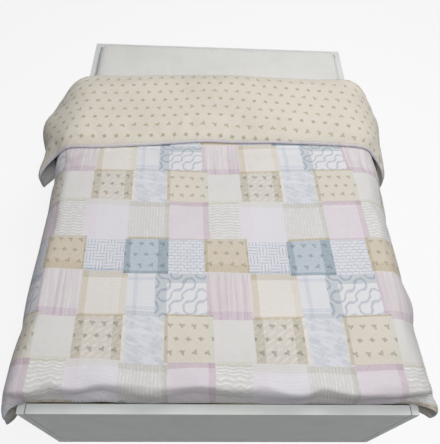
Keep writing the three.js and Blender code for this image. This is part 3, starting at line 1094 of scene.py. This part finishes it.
# %% The colour chart
COLOURS = {
    # whites and creams
    "white": (230, 229, 231), "ice": (224, 225, 230), "chalk": (236, 233, 229),
    "cream": (229, 221, 212), "ecru": (225, 221, 216), "pearl": (220, 216, 213),
    "vanilla": (222, 213, 198), "oat": (215, 207, 196), "putty": (205, 201, 194),
    # yellows and browns
    "cowslip": (217, 213, 200), "celery": (210, 207, 194), "flax": (209, 200, 185),
    "sand": (213, 200, 180), "honey": (203, 189, 162), "hemp": (196, 186, 169),
    "bronze": (190, 179, 155), "fern": (142, 131, 103), "moss": (118, 112, 92),
    # pinks
    "lilac": (227, 221, 228), "orchid": (227, 217, 226), "rose": (225, 216, 221),
    "petal": (220, 209, 217), "blush": (223, 214, 214), "mauve": (211, 196, 202),
    "plum": (206, 187, 194),
    # blues and greys
    "haze": (204, 207, 213), "bluebell": (200, 206, 217), "mist": (199, 204, 208),
    "stone": (193, 195, 190), "lavender": (186, 188, 201), "sky": (189, 199, 208),
    "dusk": (164, 171, 187), "river": (152, 167, 177), "deep": (138, 151, 170),
    "slate": (112, 125, 140),
}


def dye(name):
    return srgb(*COLOURS[name])


print(len(COLOURS), "colours on the chart")

# %% The cutting list
SCROLLS_FROM = (0.285, 0.521)
PATCHES = (
    # left, low, width, tall, cloth, ground, ink, bands (edge, width, colour)
    (0.000, 0.521, 0.178, 0.181, checked, "cream", "chalk",
     (("left", 0.024, "sand"), ("right", 0.026, "vanilla"), ("top", 0.028, "flax"),
      ("low", 0.005, "honey"))),
    (0.178, 0.521, 0.107, 0.171, tartan, "white", "bluebell", (("low", 0.018, "haze"),)),
    (0.330, 0.533, 0.150, 0.122, scrolled, "white", "dusk", ()),
    (*SCROLLS_FROM, 0.045, 0.171, scrolled, "mist", "deep", ()),
    (0.330, 0.655, 0.150, 0.037, scrolled, "mist", "deep", ()),
    (0.480, 0.513, 0.168, 0.187, soft_stripes, "blush", "mauve",
     (("left", 0.013, "mauve"), ("low", 0.032, "mauve"))),
    (-0.006, 0.358, 0.176, 0.163, trellised, "oat", "moss",
     (("left", 0.034, "hemp"), ("right", 0.034, "hemp"), ("top", 0.006, "honey"))),
    (0.170, 0.349, 0.153, 0.172, watery, "haze", "ice",
     (("left", 0.012, "cowslip"), ("right", 0.006, "celery"))),
    (0.323, 0.356, 0.178, 0.175, sprigged, "vanilla", "fern",
     (("left", 0.013, "hemp"), ("right", 0.022, "cowslip"), ("top", 0.007, "bronze"))),
    (0.501, 0.354, 0.145, 0.159, plain_cloth, "ecru", "white", (("low", 0.010, "cowslip"),)),
    (-0.022, 0.158, 0.187, 0.200, checked, "lilac", "white",
     (("left", 0.052, "orchid"), ("top", 0.030, "pearl"))),
    (0.165, 0.163, 0.170, 0.186, ribbed, "pearl", "stone",
     (("right", 0.018, "putty"), ("top", 0.024, "putty"), ("low", 0.010, "bronze"))),
    (0.335, 0.162, 0.166, 0.194, plain_cloth, "rose", "petal",
     (("top", 0.022, "plum"), ("right", 0.024, "mauve"), ("low", 0.006, "plum"))),
    (0.501, 0.171, 0.129, 0.183, waved, "pearl", "stone", (("top", 0.010, "celery"),)),
    (0.000, 0.018, 0.158, 0.140, basket, "ice", "lavender", (("low", 0.012, "bluebell"),)),
    (0.158, 0.008, 0.175, 0.155, sprigged, "sky", "slate",
     (("left", 0.024, "river"), ("right", 0.041, "river"), ("low", 0.012, "river"))),
    (0.333, 0.008, 0.143, 0.154, bricked, "ice", "lavender", ()),
    (0.476, 0.020, 0.174, 0.151, sprigged, "sand", "fern",
     (("left", 0.014, "bronze"), ("right", 0.007, "bronze"), ("top", 0.012, "flax"),
      ("low", 0.034, "honey"))),
)
covered = sum(width * tall for left, low, width, tall, *rest in PATCHES) / REPEAT_ACROSS / REPEAT_ALONG
print(len(PATCHES), "patches cover", round(covered * 100, 1), "% of the repeat")

# %% Lay the patches out in the repeat
def band(bench, local, edge, wide, patch_size):
    """How much of a place belongs to the band, with the fine dashes its two layers show."""
    x, y = bench.parts(local)
    run, along = (x, y) if edge in ("left", "right") else (y, x)
    inside = run < wide if edge in ("left", "low") else run > patch_size - wide
    return inside * (lines(along, 0.0062, 0.0026) * 0.25 + 0.80)


def patchwork(bench, flat_place):
    place = bench.use(print_place, Cloth=flat_place)["Place"]
    x, y = bench.parts(place)
    curled = bench.use(patch, Place=place, Left=SCROLLS_FROM[0], Low=SCROLLS_FROM[1])["Local"]
    common = {
        "calm": bench.noise(place, 15.0),
        "broken": bench.noise(place, 48.0),
        "drawn": bench.noise(bench.join(x, y * 0.04, 3.7), 54.0, 3.0),
        "fine": bench.noise(bench.join(x, y * 0.03, 9.1), 110.0),
        "scroll": bench.use(scrolls, Place=curled)["Ink"],
    }
    color = dye("pearl")
    for left, low, width, tall, cloth, ground, ink, bands in PATCHES:
        found = bench.use(patch, Place=place, Left=left, Low=low, Width=width, Height=tall)
        local = found["Local"]
        piece = cloth(bench, local, common, dye(ground), dye(ink))
        for edge, wide, tone in bands:
            lapped = band(bench, local, edge, wide, width if edge in ("left", "right") else tall)
            veil = tuple(over / under for over, under in zip(dye(tone), dye(ground)))
            piece = bench.mix(lapped, piece, veil, "MULTIPLY")
        color = bench.mix(found["Inside"], color, piece)
    return color


# %% Print, weave and sew both panels
def surface(bench, color, roughness, relief, strength, depth, **gloss):
    bump = bench.take("Bump", Height=relief, Strength=strength, Distance=depth)
    shader = bench.add("BsdfPrincipled", Base_Color=color, Roughness=roughness, Normal=bump, **gloss)
    bench.add("OutputMaterial", Surface=shader.outputs[0])


def cotton(bench, color, relief):
    surface(bench, color, 0.92, relief, 1.0, 0.004, Sheen_Weight=0.15, Sheen_Roughness=0.5)


def face_print(bench, place, slub, seams):
    cloth = patchwork(bench, place)
    cloth = bench.mix(slub.ease(0.44, 0.58, 0.0, 0.22), cloth, srgb(240, 240, 238))
    worn = bench.noise(place, 5.0, 3.0).ease(0.35, 0.7, 0.0, 0.06)
    cloth = bench.mix(worn, cloth, srgb(190, 190, 200), "MULTIPLY")
    return bench.mix(seams["Thread"] * 0.5, cloth, srgb(236, 234, 230))


def reverse_print(bench, place, slub, seams):
    """Cream with the same sprig, larger and further apart, and a pale edge where the seam rolls."""
    drawn = bench.use(sprigs, Place=place, Across=0.055, Along=0.060, Size=0.024, Turn=1.5)
    cloth = bench.mix(bench.noise(place, 4.0, 3.0).ease(0.35, 0.7), srgb(228, 220, 206), dye("vanilla"))
    cloth = bench.mix(slub.ease(0.42, 0.60, 0.0, 0.40), cloth, srgb(236, 231, 220))
    cloth = bench.mix(drawn["Leaves"] * 0.70, cloth, srgb(176, 168, 132))
    cloth = bench.mix(drawn["Bud"] * 0.75, cloth, srgb(172, 160, 124))
    cloth = bench.mix(seams["Rolled"] * 0.85, cloth, srgb(224, 219, 228))
    return bench.mix(seams["Thread"] * 0.5, cloth, srgb(242, 238, 230))


def cover_cloth(name, printed):
    material, bench = new_material(name)
    place = bench.take("UVMap", {"uv_map": "cloth"})
    woven = bench.use(weave, Place=place)
    seams = bench.use(seam, Place=bench.take("UVMap", {"uv_map": "from_seam"}))
    relief = woven["Height"] * 0.02 + bench.use(crumple, Place=place, Size=0.070)["Height"] * 0.8
    relief = relief + seams["Height"] * 0.25 + seams["Pucker"] * 1.5
    cotton(bench, printed(bench, place, woven["Slub"], seams), relief)
    print(name, "uses", len(bench.tree.nodes), "nodes")
    return material


cover_mesh.materials.append(cover_cloth("patchwork_print", face_print))
cover_mesh.materials.append(cover_cloth("sprigged_reverse", reverse_print))

# %% [markdown]
# ## The sheet, the paint and the wood
#
# The fitted sheet is the same plain cotton, undyed, and it is pulled: long soft creases run where
# the elastic draws it. The boards and the middle beam are sprayed with a satin lacquer, which
# leaves a fine orange peel; a dark line is painted where the side boards butt against the
# footboard, since the joint itself is too thin to draw. The slats, ledgers and leg are bare
# softwood, sawn along the grain, so the one grain effect is turned three ways.

# %% Fitted sheet
sheet_cloth, bench = new_material("fitted_sheet")
place = bench.take("TexCoord", None, "Object")
x, y = bench.parts(place)
woven = bench.use(weave, Place=place)
white = bench.mix(woven["Slub"].ease(0.42, 0.60, 0.0, 0.5), srgb(229, 228, 223), srgb(236, 235, 231))
shaded = bench.noise(place, 6.0, 3.0).ease(0.35, 0.7, 0.0, 0.10)
white = bench.mix(shaded, white, srgb(196, 198, 204), "MULTIPLY")
pulled = bench.noise(bench.join(x, y * 0.22), 16.0, 3.0, Distortion=0.5)
crumpled = bench.use(crumple, Place=place)["Height"]
cotton(bench, white, woven["Height"] * 0.02 + crumpled * 0.5 + pulled * 1.2)
mattress_mesh.materials.append(sheet_cloth)
print("sheet uses", len(bench.tree.nodes), "nodes")

# %% Satin lacquer on the boards
board_paint, bench = new_material("satin_lacquer")
place = bench.take("TexCoord", None, "Object")
x, y, z = bench.parts(place, 3)
paint = bench.mix(bench.noise(place, 5.0, 3.0).ease(0.3, 0.7), srgb(215, 219, 216), srgb(220, 222, 219))
joint = least(*(abs(x - limit) for limit in (board_low.x, board_high.x)))
joint = joint.ease(0.0012, 0.0026, 1.0, 0.0) * (y < EDGE.y + BOARD)
paint = bench.mix(joint * 0.75, paint, srgb(70, 72, 72))
# the paint turns darker grey in patches towards the bottom of the boards
darker_towards_floor = (EDGE.z - z).ease(0.50, 0.62, 0.0, 0.25) * bench.noise(place, 30.0, 3.0)
paint = bench.mix(darker_towards_floor, paint, srgb(176, 176, 170))
gloss = bench.noise(place, 26.0, 2.0).ease(0.3, 0.7, 0.40, 0.50)
peel = bench.noise(place, 420.0, 2.0) + bench.noise(place, 90.0, 2.0) * 1.5
surface(bench, paint, gloss, peel, 0.35, 0.0006)
print("lacquer uses", len(bench.tree.nodes), "nodes")

# %% Bare softwood
def make_grain():
    bench, run, side, up = effect("softwood_grain", Run=0.0, Side=0.0, Up=0.0)
    ring, pith = 0.0062, (-0.031, -0.074)
    from_pith = bench.length(bench.join(side - pith[0], up - pith[1]))
    wavy = bench.noise(bench.join(run * 0.12, side, up), 9.0, 2.0) * 0.024 + from_pith
    knots = bench.take("TexVoronoi", None, "Distance", Vector=bench.join(run * 0.8, side, up), Scale=4.2)
    return bench.lead(
        Ring=fract(wavy / ring).ease(0.55, 0.97),
        Fibre=bench.noise(bench.join(run * 0.03, side, up), 520.0, 2.0),
        Knot=knots.ease(0.035, 0.085, 1.0, 0.0))


grain = make_grain()


def softwood(name, order):
    material, bench = new_material(name)
    axes = bench.parts(bench.take("TexCoord", None, "Object"), 3)
    run, side, up = (axes["XYZ".index(axis)] for axis in order)
    sawn = bench.use(grain, Run=run, Side=side, Up=up)
    wood = bench.mix(sawn["Ring"], srgb(216, 192, 150), srgb(196, 162, 112))
    wood = bench.mix(sawn["Fibre"].ease(0.4, 0.7, 0.0, 0.25), wood, srgb(232, 212, 176))
    wood = bench.mix(sawn["Knot"] * 0.8, wood, srgb(122, 84, 52))
    surface(bench, wood, 0.68, sawn["Fibre"] * 0.6 + sawn["Ring"] * 0.4, 0.5, 0.0005)
    return material


woods = {"slat": softwood("slat_wood", "XYZ"), "ledger": softwood("ledger_wood", "YXZ"),
         "leg": softwood("leg_wood", "ZXY")}
for name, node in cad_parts.items():
    if name in ("duvet", "mattress"):
        continue
    finish = board_paint
    for word, wood in woods.items():
        if word in name:
            finish = wood
    for slot in node.material_slots:
        slot.material = finish
print("frame pieces:", ", ".join(sorted(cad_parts)))

# %% Where the pieces belong
rounding = cover.modifiers.new("rounding", "SUBSURF")
rounding.levels = rounding.render_levels = 1
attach(cover, "root")
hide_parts("duvet")
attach(mattress, "root")
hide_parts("mattress")
print("cover and mattress ride on the bed")

# %% [markdown]
# ## Floor and light
#
# The set is a white studio. The floor looks white to the camera and still takes the shadow, but
# it throws much less light back than it seems to, so the boards keep their shade. Two wide soft
# lamps, one towards the head and one towards the foot, and a dim bluish sky light the bed so that
# the top of the cover reads a little under the colours as written.

# %% Floor
FLOOR_SHOWN, FLOOR_GLOW, FLOOR_DULL = 0.93, 0.84, 0.05


def grey(level):
    return (level, level, level, 1)


floor_paint, bench = new_material("studio_floor")
rays = bench.add("LightPath").outputs
seen = bench.math("MAXIMUM", rays["Is Camera Ray"], rays["Is Glossy Ray"])
shown = bench.add("BsdfDiffuse", Color=grey(FLOOR_SHOWN)).outputs[0]
white = bench.add("Emission").outputs[0]
bright = bench.filled("MixShader", None, (FLOOR_GLOW, shown, white)).outputs[0]
dull = bench.add("BsdfDiffuse", Color=grey(FLOOR_DULL)).outputs[0]
bench.add("OutputMaterial", Surface=bench.filled("MixShader", None, (seen, dull, bright)).outputs[0])

bm = bmesh.new()
bmesh.ops.create_grid(bm, x_segments=1, y_segments=1, size=9)
floor = new_piece("studio_floor", bm)
floor.data.materials.append(floor_paint)
print("floor laid,", round(floor.dimensions.x), "m wide")

# %% Lamps
LAMP_SIZE, LAMP_AWAY, LAMP_TARGET = 2.2, 4.5, Vector((0, 0, 0.7))


def soft_lamp(name, power, bearing, height):
    """A square lamp turned to the bed; bearing runs from its right side, height from level."""
    data = bpy.data.lights.new(name, "AREA")
    data.shape = "SQUARE"
    data.size = LAMP_SIZE
    data.energy = power
    lamp = bpy.data.objects.new(name, data)
    bearing, height = math.radians(bearing), math.radians(height)
    level = Vector((math.cos(bearing), math.sin(bearing), 0))
    away = math.cos(height) * level + Vector((0, 0, math.sin(height)))
    turned = (-away).to_track_quat("-Z", "Y").to_matrix().to_4x4()
    lamp.matrix_world = Matrix.Translation(LAMP_TARGET + LAMP_AWAY * away) @ turned
    lamp.visible_camera = False
    bpy.context.collection.objects.link(lamp)


soft_lamp("from_the_head", 96, bearing=42, height=60)
soft_lamp("from_the_foot", 104, bearing=275, height=66)
print("two lamps,", LAMP_AWAY, "m from the bed")

# %% Sky
SKY, SKY_TINT = 0.07, (0.84, 0.90, 1.05, 1)

world = bpy.data.worlds.new("white_studio")
bpy.context.scene.world = world
world.use_nodes = True
world.node_tree.nodes.clear()
bench = Bench(world.node_tree)
rays = bench.add("LightPath").outputs
mirrored = bench.math("MAXIMUM", rays["Is Glossy Ray"], rays["Is Transmission Ray"])
seen = bench.math("MAXIMUM", rays["Is Camera Ray"], mirrored)
strength = bench.take("MapRange", Value=seen, To_Min=SKY, To_Max=1.0)
sky = bench.add("Background", Color=bench.mix(seen, SKY_TINT, grey(1)), Strength=strength)
bench.add("OutputWorld", Surface=sky.outputs[0])
bpy.context.scene.view_settings.view_transform = "Standard"
print("sky at", SKY)
